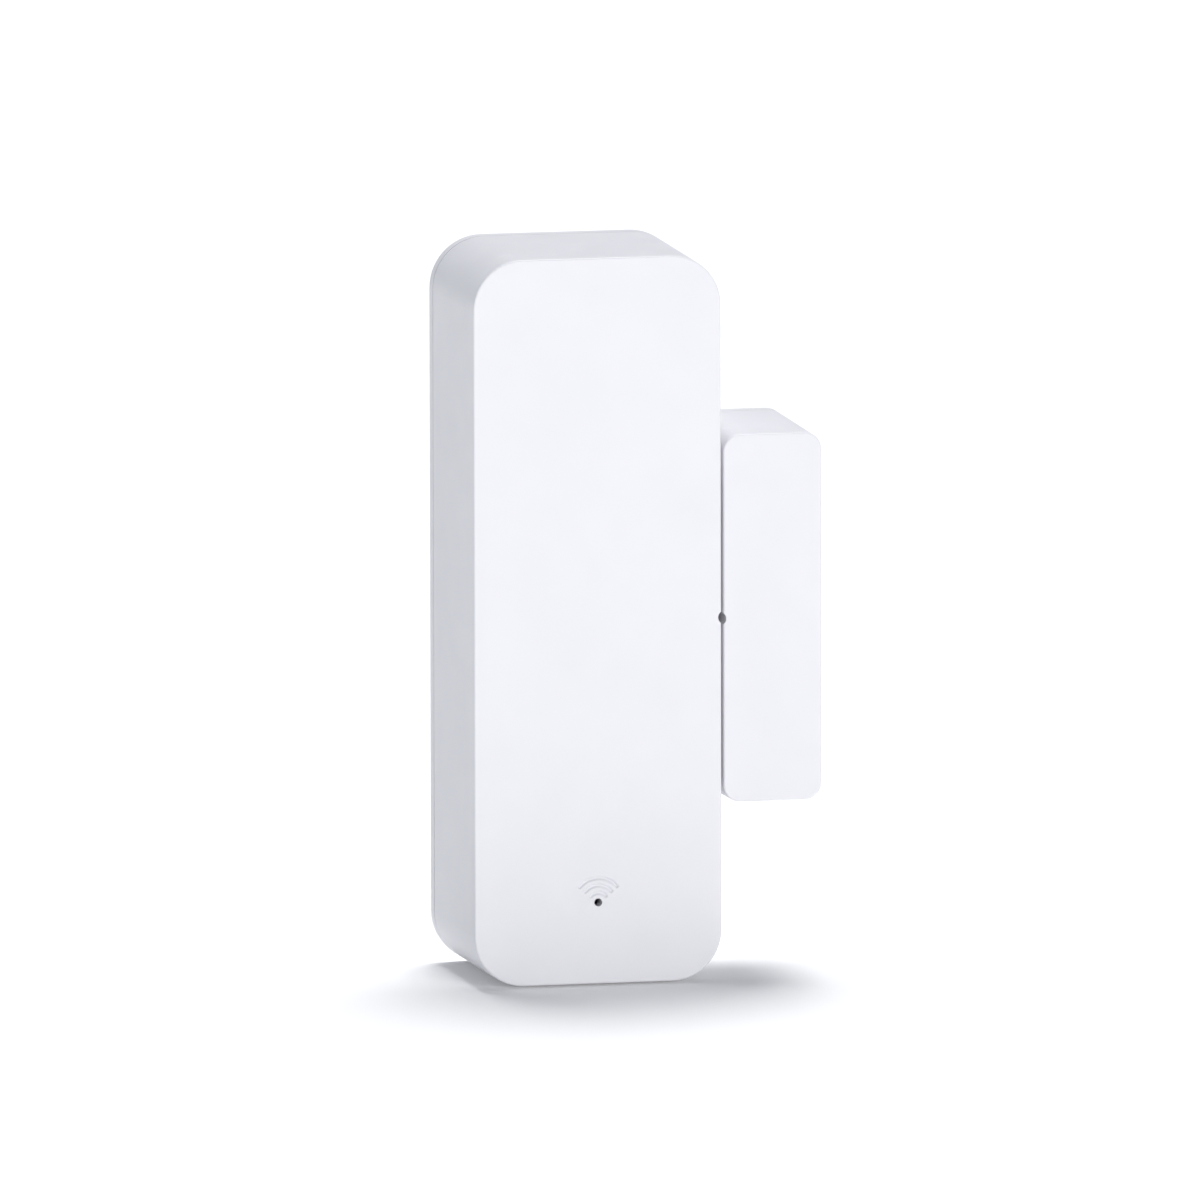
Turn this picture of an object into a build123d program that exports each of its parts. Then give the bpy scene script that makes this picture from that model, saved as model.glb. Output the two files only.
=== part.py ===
from build123d import *

import os
from math import radians, sqrt, tan

# Door contact sensor: a battery sensor on its stick-on mounting plate, and the magnet unit beside it.
#
# Frame, in millimetres: the origin is the centre of the sensor's adhesive face, where it meets the door
# frame. +Z is up along the sensor, +X points to the magnet unit, and -Y points out of the wall into the room.

# ---------------------------------------------------------------- sensor housing
sensor_width = 25.4          # across the back outline
sensor_height = 72.6         # along the back outline
corner_radius = 5.2          # of the back outline
draft = 0.7                  # degrees, mould draft of every outer wall
side_wall = 1.5
front_wall = 1.6
edge_round = 0.2             # around the front face
plate_thickness = 1.4
seam = 0.15                  # shadow gap between a plate and its shell
pad_thickness = 0.8
pad_width = 17.0
pad_height = 60.0
pad_radius = 2.0

# ---------------------------------------------------------------- fits
fit_gap = 0.2                # loose seat of one moulding in another
slip_gap = 0.1               # close seat, and a lead in its hole
screw_gap = 0.02             # screw in the thread it has cut
rooting = 0.3                # how deep an inner feature is rooted in its wall
clear = 1.0                  # how far a cutter runs past the face it opens

# ---------------------------------------------------------------- cells
cell_diameter = 10.3
cell_length = 44.2           # with the positive cap
cell_spacing = 0.3           # between the two cells
cell_edge = 0.4
cell_to_plate = 0.4
cap_radius = 1.9
cap_height = 1.0
seal_depth = 0.25
seal_width = 0.55            # of the sealing ring around the cap's foot

# ---------------------------------------------------------------- contacts
contact_thickness = 0.4
contact_inset = 0.95         # of a contact's side within its cell's
dimple_radius = 1.6
dimple_height = 0.3
tab_width = 2.0
tab_reach = 0.5              # of a solder tab past the board
spring_length = 4.5          # as the cell holds it
spring_wire = 0.5
spring_wide_radius = 3.3
spring_narrow_radius = 2.2
spring_half_turns = 7
spring_touch = 0.05          # left at each end of a spring

# ---------------------------------------------------------------- tray
tray_floor = 0.8
tray_end_wall = 1.0
tray_flange = 3.8            # lip below the tray for its screws
tray_tab_x = 5.0
tray_tab_width = 3.0
tray_tab_reach = 0.7
tray_tab_rise = 1.2          # of a tab above the tray's underside
rail_drop = 2.5              # of the side rails' tops below the cells' axis
saddle_thickness = 1.2
saddle_places = (0.2, 0.5, 0.8)      # along the bay, as shares of its length

# ---------------------------------------------------------------- board and screws
board_thickness = 1.2
component_space = 3.4        # between the board and the front wall
screw_radius = 0.85
screw_length = 4.6           # under the head
screw_point = 0.35
screw_head_radius = 1.6
screw_head_height = 1.1
screw_head_round = 0.45
recess_reach, recess_width, recess_depth = 0.95, 0.4, 0.6
screw_hole_radius = 1.0
boss_radius = 1.8
pin_radius = 0.9
pin_x = 8.0
pin_drop = 3.2               # below the board's upper edge
screw_x = 7.9
board_screw_rise = 3.0       # above the board's lower edge
tray_screw_drop = 1.9        # below the tray's lower wall

# ---------------------------------------------------------------- front face marks
light_hole_radius = 0.4
light_hole_height = 8.1      # above the front face's lower edge
light_tube_radius = 1.7
light_tube_bore = 0.9
signal_arc_radii = (0.98, 1.70, 2.43)
signal_arc_width = 0.44
signal_arc_depth = 0.15
signal_arc_bevel = 48        # degrees, lean of an arc's walls
signal_arc_span = 100.0
mark_radius = 0.7            # sighting groove in both facing sides
mark_depth = 0.3
mark_length = 5.0            # past the magnet unit's front

# ---------------------------------------------------------------- plate lip and snap beads
lip_gap = 0.15
lip_thickness = 0.9
lip_height = 2.0
lip_corner = 0.3             # least inner corner radius of the lip
bead_height = 0.1
bead_length = 7.0
bead_offset = 18.0           # of each bead from mid-height
bead_level = 1.3             # of a bead above its plate
groove_radius = 0.3
pry_width = 8.0
pry_height = 0.9
pry_depth = 0.8

# ---------------------------------------------------------------- magnet unit
magnet_unit_width = 10.36
magnet_unit_height = 37.0
magnet_unit_depth = 17.5
magnet_corner_radius = 1.9
magnet_wall = 1.3
magnet_front_wall = 1.5
pair_gap = 0.18              # between the two units at their backs
magnet_drop = 0.4            # of the magnet unit's middle below the sensor's
magnet_pad_width = 6.6
magnet_pad_height = 30.0
bar_length = 25.0
bar_depth = 10.0
bar_thickness = 3.5
bar_gap = 0.15
bar_edge = 0.25
rib_thickness = 1.0
rib_cover = 7.5              # how far the ribs reach along the bar's depth
post_radius = 1.1
magnet_bead_length = 5.0
magnet_bead_offset = 9.0

# ---------------------------------------------------------------- levels from the wall out, all negative y
slope = tan(radians(draft))
cell_radius = cell_diameter / 2
plate_back = -pad_thickness
plate_front = plate_back - plate_thickness
shell_back = plate_front - seam
lip_tip = plate_front - lip_height
cell_back = plate_front - cell_to_plate
cell_axis = cell_back - cell_radius
rail_top = cell_axis - rail_drop
tray_rim = lip_tip - 2 * fit_gap
tray_inside = cell_back - cell_diameter - slip_gap
tray_underside = tray_inside - tray_floor
board_back = tray_underside - slip_gap
board_front = board_back - board_thickness
inner_front = board_front - component_space
front_face = inner_front - front_wall
magnet_front = plate_back - magnet_unit_depth
magnet_inner = magnet_front + magnet_front_wall
bar_back = magnet_inner + bar_gap + bar_depth


def inset(y):
    """How far the draft has drawn an outer wall in at level y."""
    return slope * (plate_back - y)


# ---------------------------------------------------------------- places along and across the sensor
tray_half_width = sensor_width / 2 - inset(tray_underside) - side_wall - fit_gap
tray_top = sensor_height / 2 - inset(tray_underside) - side_wall - fit_gap
bay_top = tray_top - tray_end_wall
bay_bottom = bay_top - (cell_length + spring_length + 2 * contact_thickness + dimple_height)
tray_bottom = bay_bottom - tray_end_wall
flange_bottom = tray_bottom - tray_flange
cell_x = (cell_diameter + cell_spacing) / 2
cell_chord = sqrt(cell_radius**2 - rail_drop**2)
contact_half_width = cell_radius - contact_inset
board_half_width = sensor_width / 2 - inset(board_front) - side_wall - fit_gap
board_half_height = sensor_height / 2 - inset(board_front) - side_wall - fit_gap
board_screw_z = board_screw_rise - board_half_height
tray_screw_z = tray_bottom - tray_screw_drop
pin_z = board_half_height - pin_drop
light_z = light_hole_height - (sensor_height / 2 - inset(front_face))
screw_places = [(x, z) for x in (-screw_x, screw_x) for z in (board_screw_z, tray_screw_z)]
magnet_x = sensor_width / 2 + pair_gap + magnet_unit_width / 2
bar_x = magnet_x - magnet_unit_width / 2 + inset(magnet_inner) + magnet_wall + bar_gap + bar_thickness / 2

# ---------------------------------------------------------------- reed switch, on the magnet's side
reed_radius = 1.0
reed_length = 14.0
reed_end_round = 0.6
reed_edge = 1.75             # of its axis from the board's edge
reed_standoff = 1.25         # of its axis from the board's face
reed_bore = 0.7
reed_cavity = 10.4           # length of the sealed space
blade_width = 0.9
blade_thickness = 0.25
blade_overlap = 0.6          # past mid-length, each way
blade_gap = 0.03             # left between the closed contacts
blade_end = reed_cavity / 2 - slip_gap / 2
lead_radius = 0.25
lead_reach = 9.2             # from mid-length to the bend
lead_bend = 0.75
lead_rooting = 0.3           # of the fixed blade's lead in its blade
reed_x = board_half_width - reed_edge
reed_level = board_front - reed_standoff

# ---------------------------------------------------------------- what else stands on the board
led_width, led_rise, led_height = 2.0, 0.8, 1.25
lens_width, lens_height = 1.2, 1.1
module_x, module_z = -1.6, 14.5
module_width, module_height, module_thickness = 16.0, 24.0, 0.8
shield_width, shield_height, shield_rise = 13.6, 15.0, 2.1
shield_drop = 2.6            # of the shield's middle below the module's
shield_round = 0.3
row_drop = 1.3               # of the tall parts' tops below the tray
switch_x, switch_side, switch_rise = -5.2, 6.0, 3.3
switch_round = 0.4
cover_thickness = 0.2
rivet_radius, rivet_rise, rivet_inset = 0.4, 0.2, 0.9
leg_thickness, leg_width, leg_rise = 0.25, 0.7, 1.6
button_radius = 1.75
button_rise = 1.5            # above the switch's top
button_depth = 1.4           # below it
button_round = 0.25
button_travel = 0.25
capacitor_x, capacitor_side, capacitor_base = 5.2, 6.6, 1.0
capacitor_chamfer = 1.0
can_radius, can_rise, can_round = 3.15, 5.4, 0.4
neck_radius, neck_rise = 0.25, 1.0
inductor_side, inductor_rise, inductor_round = 3.8, 2.0, 0.5
inductor_drop = 0.7          # below the board screws
pocket_radius, pocket_depth = 1.55, 0.8
winding_radius, winding_recess = 1.45, 0.15
chip_x = -0.15               # middle of the gap between switch and capacitor
regulator_size = (1.6, 2.9, 1.0)
regulator_offsets = (1.9, -3.0)      # above the row's middle
foot_size = (0.7, 0.4, 0.2)
foot_pitch, foot_reach = 0.95, 1.15
regulator_lift = 0.1
behind_size = (0.9, 0.55, 0.5)
behind_columns, behind_rows = (-0.85, 0.85), (-1.1, -0.1)    # from the chips' middle and the row's
ahead_size = (0.8, 1.6, 0.5)
ahead_pitch, ahead_count, ahead_rise, ahead_side = 2.0, 6, 4.5, 4.0
row_z = flange_bottom - row_drop - switch_side / 2
switch_top = board_back + switch_rise


# ---------------------------------------------------------------- helpers
def level(y):
    """The plane at y that looks out of the wall: its own x is +X and its own y is +Z."""
    return Plane.XZ.offset(-y)


def slab(width, height, radius, back, front, x=0.0, taper=0.0):
    """A rounded plate between two levels."""
    outline = level(back) * Pos(x, 0) * RectangleRounded(width, height, radius)
    return extrude(outline, back - front, taper=taper)


def peg(radius, x, z, back, front):
    """A round peg along Y between two levels."""
    return extrude(level(back) * Pos(x, z) * Circle(radius), back - front)


def rod(radius, x, y, z0, z1):
    """A round rod along Z."""
    return Pos(x, y, (z0 + z1) / 2) * Cylinder(radius, z1 - z0)


def box(x0, x1, y0, y1, z0, z1):
    """A block between two corners."""
    centre = Pos((x0 + x1) / 2, (y0 + y1) / 2, (z0 + z1) / 2)
    return centre * Box(abs(x1 - x0), abs(y1 - y0), abs(z1 - z0))


def chip(x, z, width, height, rise, face, side):
    """A block standing on a board face: side is 1 for the back of the board and -1 for its front."""
    return box(x - width / 2, x + width / 2, face, face + side * rise, z - height / 2, z + height / 2)


def rearmost(shape):
    """The edges of a shape's face nearest the wall."""
    return shape.faces().sort_by(Axis.Y)[-1].edges()


def along_y(shape):
    """A shape's edges that run along Y."""
    return shape.edges().filter_by(Axis.Y)


def save(name, *shapes):
    """Writes one node, of one solid or a group of separate ones."""
    solids = [solid for shape in shapes for solid in shape.solids()]
    node = solids[0] if len(solids) == 1 else Compound(children=solids)
    node.label = name
    export_step(node, f"parts/{name}.step")


# ---------------------------------------------------------------- mouldings shared by both units
def shell_body(width, height, radius, wall, front, inner, x=0.0):
    """An open-backed drafted shell with its front edge rounded."""
    drawn = inset(shell_back)
    outer = slab(width - 2 * drawn, height - 2 * drawn, radius - drawn, shell_back, front, x, taper=draft)
    front_outline = outer.faces().sort_by(Axis.Y)[0].outer_wire().edges()
    outer = fillet(front_outline, edge_round)
    cut = wall + drawn
    return outer - slab(width - 2 * cut, height - 2 * cut, radius - cut, shell_back, inner, x, taper=draft)


def bead_places(reach, offset, x):
    """The middles of the four snap beads, reach to each side of x."""
    y = plate_front - bead_level
    return [(x + side * reach, y, z) for side in (-1, 1) for z in (-offset, offset)]


def back_plate(width, height, radius, wall, length, offset, x=0.0):
    """A flush plate with a locating lip and four snap beads."""
    plate = slab(width, height, radius, plate_back, plate_front, x, taper=draft)
    out = wall + inset(lip_tip) + lip_gap
    within = out + lip_thickness
    inner_radius = max(radius - within, lip_corner)
    lip = slab(width - 2 * out, height - 2 * out, radius - out, plate_front, lip_tip, x)
    lip -= slab(width - 2 * within, height - 2 * within, inner_radius, plate_front, lip_tip, x)
    beads = [Pos(*place) * Cylinder(bead_height, length) for place in bead_places(width / 2 - out, offset, x)]
    return plate + lip + beads


def bead_grooves(width, wall, length, offset, x=0.0):
    """The shallow grooves in a shell's side walls where its plate's beads sit."""
    reach = width / 2 - wall - inset(plate_front - bead_level)
    groove = Cylinder(groove_radius, length + 2 * fit_gap)
    return [Pos(*place) * groove for place in bead_places(reach, offset, x)]


def sighting_groove(edge_x, side):
    """The half-round groove in a side wall; side is the way the wall faces."""
    centre = edge_x + side * (mark_radius - mark_depth)
    return peg(mark_radius, centre, 0, magnet_front + mark_length, front_face - clear)


def adhesive_pad(width, height, x=0.0):
    return slab(width, height, pad_radius, 0, plate_back, x)


# ---------------------------------------------------------------- sensor mouldings
def signal_arc(radius):
    """One engraved arc above the light hole, with round ends and leaning walls."""
    path = CenterArc((0, light_z), radius, 90 - signal_arc_span / 2, signal_arc_span)
    ends = [Pos(path @ t) * Circle(signal_arc_width / 2) for t in (0, 1)]
    outline = trace(path, signal_arc_width) + ends
    return extrude(level(front_face) * outline, -signal_arc_depth, taper=signal_arc_bevel)


def tray_tab_pocket(x):
    """The pocket in the shell's upper wall for one of the tray's tabs."""
    half = tray_tab_width / 2 + slip_gap
    front = tray_underside + tray_tab_rise - slip_gap
    back = front + tray_floor + 2 * slip_gap
    return box(x - half, x + half, front, back, tray_top, tray_top + tray_tab_reach + fit_gap)


def pry_notch():
    """The notch in the shell's lower rim for lifting it off its plate."""
    lower = -sensor_height / 2
    depth = inset(shell_back) + pry_depth
    half = pry_width / 2
    return box(-half, half, shell_back - pry_height, shell_back + clear, lower - clear, lower + depth)


def front_shell():
    shell = shell_body(sensor_width, sensor_height, corner_radius, side_wall, front_face, inner_front)
    root = inner_front - rooting
    for x, z in screw_places:
        shell += peg(boss_radius, x, z, board_front, root)
        shell -= peg(screw_radius + screw_gap, x, z, board_front, front_face + front_wall / 2)
    for x in (-pin_x, pin_x):
        shell += peg(boss_radius, x, pin_z, board_front, root)
        shell += peg(pin_radius, x, pin_z, board_back - slip_gap, root)
    shell += peg(light_tube_radius, 0, light_z, board_front - led_rise - fit_gap, root)
    shell -= peg(light_tube_bore, 0, light_z, board_front, inner_front)
    shell -= peg(light_hole_radius, 0, light_z, board_front, front_face - clear)
    for radius in signal_arc_radii:
        shell -= signal_arc(radius)
    for x in (-tray_tab_x, tray_tab_x):
        shell -= tray_tab_pocket(x)
    shell -= sighting_groove(sensor_width / 2 - inset(front_face), 1)
    shell -= bead_grooves(sensor_width, side_wall, bead_length, bead_offset)
    return shell - pry_notch()


def mounting_plate():
    return back_plate(sensor_width, sensor_height, corner_radius, side_wall, bead_length, bead_offset)


def tray_block():
    """The tray's outside, with round upper corners."""
    block = box(-tray_half_width, tray_half_width, tray_underside, tray_rim, flange_bottom, tray_top)
    upper = along_y(block).sort_by(Axis.Z)[-2:]
    return fillet(upper, corner_radius - side_wall - inset(tray_underside))


def tab_slot(x, back, front):
    """The slot that a contact's solder tab passes through."""
    half = tab_width / 2 + slip_gap
    top = bay_bottom + contact_thickness + slip_gap
    return box(x - half, x + half, front, back, bay_bottom - slip_gap, top)


def battery_tray():
    half_bay = cell_x + cell_chord + fit_gap
    half_ridge = cell_x - cell_chord - fit_gap
    end_room = contact_thickness + fit_gap
    low, high = bay_bottom + end_room, bay_top - end_room
    wide = sensor_width
    rim = tray_rim + clear
    tray = tray_block()
    tray -= box(-half_bay, half_bay, tray_inside, rim, bay_bottom, bay_top)
    tray -= box(-wide, wide, rail_top, rim, bay_bottom, bay_top)
    tray -= box(-wide, wide, tray_inside, rim, flange_bottom - clear, tray_bottom)
    tray += box(-half_ridge, half_ridge, tray_inside, rail_top, low, high)
    for place in saddle_places:
        z = bay_bottom + place * (bay_top - bay_bottom)
        half = saddle_thickness / 2
        tray += box(-half_bay, half_bay, tray_inside, rail_top, z - half, z + half)
    for x in (-cell_x, cell_x):
        tray -= rod(cell_radius + slip_gap, x, cell_axis, low, high)
        tray -= tab_slot(x, tray_inside + clear, tray_underside - clear)
    for x in (-screw_x, screw_x):
        tray -= peg(screw_hole_radius, x, tray_screw_z, tray_inside, tray_underside)
    back = tray_underside + tray_tab_rise
    for x in (-tray_tab_x, tray_tab_x):
        half = tray_tab_width / 2
        tray += box(x - half, x + half, back, back + tray_floor, bay_top, tray_top + tray_tab_reach)
    return tray


# ---------------------------------------------------------------- cells and contacts
def standing(radius, height):
    """A cylinder that stands on its own origin."""
    return Cylinder(radius, height, align=(Align.CENTER, Align.CENTER, Align.MIN))


def cell(x, up):
    """One cell as its can, its sealing ring and its positive cap; up is 1 if the cap is at the top."""
    seat = Pos(0, 0, -seal_depth)
    ring_radius = cell_radius - 2 * cell_edge
    foot = seat * standing(ring_radius - seal_width, seal_depth)
    can = Pos(0, 0, cap_height - cell_length) * standing(cell_radius, cell_length - cap_height)
    can = fillet(can.edges(), cell_edge) - seat * standing(ring_radius, seal_depth)
    ring = seat * standing(ring_radius, seal_depth) - foot
    cap = foot + standing(cap_radius, cap_height)
    cap = fillet(cap.faces().sort_by(Axis.Z)[-1].edges(), cell_edge)
    end_room = contact_thickness + dimple_height + cap_height
    if up > 0:
        place = Pos(x, cell_axis, bay_top - end_room)
    else:
        place = Pos(x, cell_axis, bay_bottom + end_room) * Rot(180, 0, 0)
    return place * can, place * ring, place * cap


def contact_blade(x0, x1, end):
    """A flat contact against an end wall of the bay; end is 1 at the top and -1 at the bottom."""
    z = bay_top if end > 0 else bay_bottom
    return box(x0, x1, tray_inside + slip_gap, tray_rim - 2 * fit_gap, z, z - end * contact_thickness)


def dimple(x, end):
    """The raised boss that a positive cap presses on."""
    z = bay_top if end > 0 else bay_bottom
    middle = z - end * (contact_thickness + dimple_height / 2)
    return Pos(x, cell_axis, middle) * Cylinder(dimple_radius, dimple_height)


def solder_tab(x):
    """The tab from a lower contact through the tray and the board."""
    half = tab_width / 2
    top = bay_bottom + contact_thickness
    return box(x - half, x + half, tray_inside + 2 * slip_gap, board_front - tab_reach, bay_bottom, top)


def bridge_contact():
    reach = cell_x + contact_half_width
    return contact_blade(-reach, reach, 1) + dimple(-cell_x, 1)


def negative_contact():
    return contact_blade(-cell_x - contact_half_width, -cell_x + contact_half_width, -1) + solder_tab(-cell_x)


def positive_contact():
    blade = contact_blade(cell_x - contact_half_width, cell_x + contact_half_width, -1)
    return blade + dimple(cell_x, -1) + solder_tab(cell_x)


def contact_spring(x, end):
    """A conical spring of half-turn arcs, wide at its contact and narrow at its cell."""
    low = spring_wire / 2 + spring_touch
    rise = (spring_length - 2 * low) / spring_half_turns
    taper = (spring_wide_radius - spring_narrow_radius) / spring_half_turns
    turns = []
    side = 1
    for i in range(spring_half_turns):
        start = Vector(side * (spring_wide_radius - i * taper), 0, low + i * rise)
        stop = Vector(-side * (spring_wide_radius - (i + 1) * taper), 0, low + (i + 1) * rise)
        middle = (start + stop) / 2 + Vector(0, side * (stop - start).length / 2, 0)
        turns.append(ThreePointArc(start, middle, stop))
        side = -side
    path = Wire(turns)
    coil = sweep(Plane(path @ 0, z_dir=path % 0) * Circle(spring_wire / 2), path=path)
    if end > 0:
        return Pos(x, cell_axis, bay_top - contact_thickness) * Rot(180, 0, 0) * coil
    return Pos(x, cell_axis, bay_bottom + contact_thickness) * coil


# ---------------------------------------------------------------- board and what it carries
def circuit_board():
    radius = corner_radius - side_wall - inset(board_front) - fit_gap
    board = slab(2 * board_half_width, 2 * board_half_height, radius, board_back, board_front)
    for x, z in screw_places:
        board -= peg(screw_hole_radius, x, z, board_back, board_front)
    for x in (-pin_x, pin_x):
        board -= peg(pin_radius + slip_gap, x, pin_z, board_back, board_front)
    for x in (-cell_x, cell_x):
        board -= tab_slot(x, board_back, board_front)
    for z in (-lead_reach, lead_reach):
        board -= peg(lead_radius + slip_gap, reed_x, z, board_back, board_front)
    return board


def radio_module():
    return chip(module_x, module_z, module_width, module_height, module_thickness, board_front, -1)


def radio_shield():
    seat = board_front - module_thickness
    can = chip(module_x, module_z - shield_drop, shield_width, shield_height, shield_rise, seat, -1)
    return fillet(along_y(can) + can.faces().sort_by(Axis.Y)[0].edges(), shield_round)


def reed_glass():
    tube = rod(reed_radius, reed_x, reed_level, -reed_length / 2, reed_length / 2)
    tube = fillet(tube.edges(), reed_end_round)
    tube -= rod(reed_bore, reed_x, reed_level, -reed_cavity / 2, reed_cavity / 2)
    return tube - rod(lead_radius, reed_x, reed_level, -reed_length, reed_length)


def reed_lead(side, inner_end):
    """One round lead, out of the glass and down through the board; side is 1 for the upper one."""
    corner = Vector(reed_x, reed_level, side * lead_reach)
    start = Vector(reed_x, reed_level, side * inner_end)
    stop = Vector(reed_x, board_back, side * lead_reach)
    path = FilletPolyline(start, corner, stop, radius=lead_bend)
    return sweep(Plane(path @ 0, z_dir=path % 0) * Circle(lead_radius), path=path)


def reed_blade(side, shift):
    """A flattened contact blade, from its end of the sealed space to just past the middle."""
    y = reed_level + shift * (blade_gap + blade_thickness) / 2
    half = blade_thickness / 2
    return box(reed_x - blade_width / 2, reed_x + blade_width / 2, y - half, y + half,
               side * blade_end, -side * blade_overlap)


def reed_leads():
    """The lower lead with its fixed blade, and the upper lead."""
    lower = reed_lead(-1, blade_end - lead_rooting) + reed_blade(-1, -1)
    return lower, reed_lead(1, reed_cavity / 2)


def status_led():
    """The white case and the clear lens on it."""
    half_rise = led_rise / 2
    case = chip(0, light_z, led_width, led_height, half_rise, board_front, -1)
    return case, chip(0, light_z, lens_width, lens_height, half_rise, board_front - half_rise, -1)


def reset_switch_base():
    base = chip(switch_x, row_z, switch_side, switch_side, switch_rise, board_back, 1)
    base = fillet(along_y(base), switch_round)
    floor = switch_top - button_depth - button_travel - slip_gap
    return base - peg(button_radius + fit_gap, switch_x, row_z, switch_top, floor)


def reset_switch_metal():
    """The steel cover with its four rivets, and the four legs in the board."""
    cover = chip(switch_x, row_z, switch_side, switch_side, cover_thickness, switch_top, 1)
    cover = fillet(along_y(cover), switch_round)
    cover -= peg(button_radius + fit_gap, switch_x, row_z, switch_top + clear, switch_top)
    reach = switch_side / 2 - rivet_inset
    legs = []
    for side in (-1, 1):
        near = switch_x + side * switch_side / 2
        for z in (row_z - reach, row_z + reach):
            rivet_top = switch_top + cover_thickness + rivet_rise
            cover += peg(rivet_radius, switch_x + side * reach, z, rivet_top, switch_top)
            legs.append(box(near, near + side * leg_thickness, board_back, board_back + leg_rise,
                            z - leg_width / 2, z + leg_width / 2))
    return cover, *legs


def reset_button():
    button = peg(button_radius, switch_x, row_z, switch_top + button_rise, switch_top - button_depth)
    return fillet(rearmost(button), button_round)


def capacitor_foot():
    foot = chip(capacitor_x, row_z, capacitor_side, capacitor_side, capacitor_base, board_back, 1)
    return chamfer(along_y(foot).sort_by(Axis.X)[-2:], capacitor_chamfer)


def capacitor_can():
    """The aluminium can with its rolled neck."""
    start = board_back + capacitor_base
    can = peg(can_radius, capacitor_x, row_z, board_back + can_rise, start)
    can = fillet(rearmost(can), can_round)
    return can - Pos(capacitor_x, start + neck_rise, row_z) * Rot(90, 0, 0) * Torus(can_radius, neck_radius)


def power_inductor():
    """A shielded coil: its ferrite block and the winding in it."""
    z = board_screw_z - inductor_drop
    top = board_back + inductor_rise
    block = chip(0, z, inductor_side, inductor_side, inductor_rise, board_back, 1)
    block = fillet(along_y(block), inductor_round) - peg(pocket_radius, 0, z, top, top - pocket_depth)
    return block, peg(winding_radius, 0, z, top - winding_recess, top - pocket_depth)


def regulator_chips():
    """Two six-leg packages on the back of the board: bodies and feet."""
    width, height, rise = regulator_size
    solids = []
    for offset in regulator_offsets:
        z = row_z + offset
        solids.append(chip(chip_x, z, width, height, rise, board_back + regulator_lift, 1))
        for side in (-1, 1):
            for step in (-foot_pitch, 0, foot_pitch):
                solids.append(chip(chip_x + side * foot_reach, z + step, *foot_size, board_back, 1))
    return solids


def chip_components():
    """Small capacitors and resistors, on both faces of the board."""
    behind = [(chip_x + x, row_z + z) for x in behind_columns for z in behind_rows]
    middle = (ahead_count - 1) / 2
    ahead = [((i - middle) * ahead_pitch, light_z + ahead_rise) for i in range(ahead_count)]
    ahead += [(-ahead_side, light_z), (ahead_side, light_z)]
    return [chip(*place, *behind_size, board_back, 1) for place in behind] + [
        chip(*place, *ahead_size, board_front, -1) for place in ahead
    ]


def screw(x, z, seat):
    """A pan-head screw with a cross recess, driven from behind; seat is the level under its head."""
    top = seat + screw_head_height
    head = fillet(rearmost(peg(screw_head_radius, x, z, top, seat)), screw_head_round)
    half = recess_width / 2
    head -= box(x - recess_reach, x + recess_reach, top - recess_depth, top, z - half, z + half)
    head -= box(x - half, x + half, top - recess_depth, top, z - recess_reach, z + recess_reach)
    shank = peg(screw_radius, x, z, seat, seat - screw_length)
    return head + chamfer(shank.faces().sort_by(Axis.Y)[0].edges(), screw_point)


# ---------------------------------------------------------------- magnet unit
def magnet_shell():
    """The cover with its half of the sighting groove and the ribs around the bar magnet."""
    shell = shell_body(magnet_unit_width, magnet_unit_height, magnet_corner_radius, magnet_wall,
                       magnet_front, magnet_inner, magnet_x)
    half = magnet_unit_width / 2 - magnet_wall / 2
    root, deep = magnet_inner - rooting, magnet_inner + rib_cover
    end = bar_length / 2 + bar_gap
    side = bar_x + bar_thickness / 2 + bar_gap
    for way in (-1, 1):
        shell += box(magnet_x - half, magnet_x + half, root, deep, way * end, way * (end + rib_thickness))
    shell += box(side, side + rib_thickness, root, deep, -end, end)
    shell -= sighting_groove(magnet_x - magnet_unit_width / 2 + inset(magnet_front), -1)
    return shell - bead_grooves(magnet_unit_width, magnet_wall, magnet_bead_length,
                                magnet_bead_offset, magnet_x)


def magnet_plate():
    """The plate with two posts that hold the bar magnet down."""
    plate = back_plate(magnet_unit_width, magnet_unit_height, magnet_corner_radius, magnet_wall,
                       magnet_bead_length, magnet_bead_offset, magnet_x)
    for z in (-bar_length / 4, bar_length / 4):
        plate += peg(post_radius, bar_x, z, plate_front + rooting, bar_back + bar_gap)
    return plate


def bar_magnet():
    half = bar_thickness / 2
    bar = box(bar_x - half, bar_x + half, bar_back - bar_depth, bar_back, -bar_length / 2, bar_length / 2)
    return chamfer(bar.edges(), bar_edge)


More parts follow.
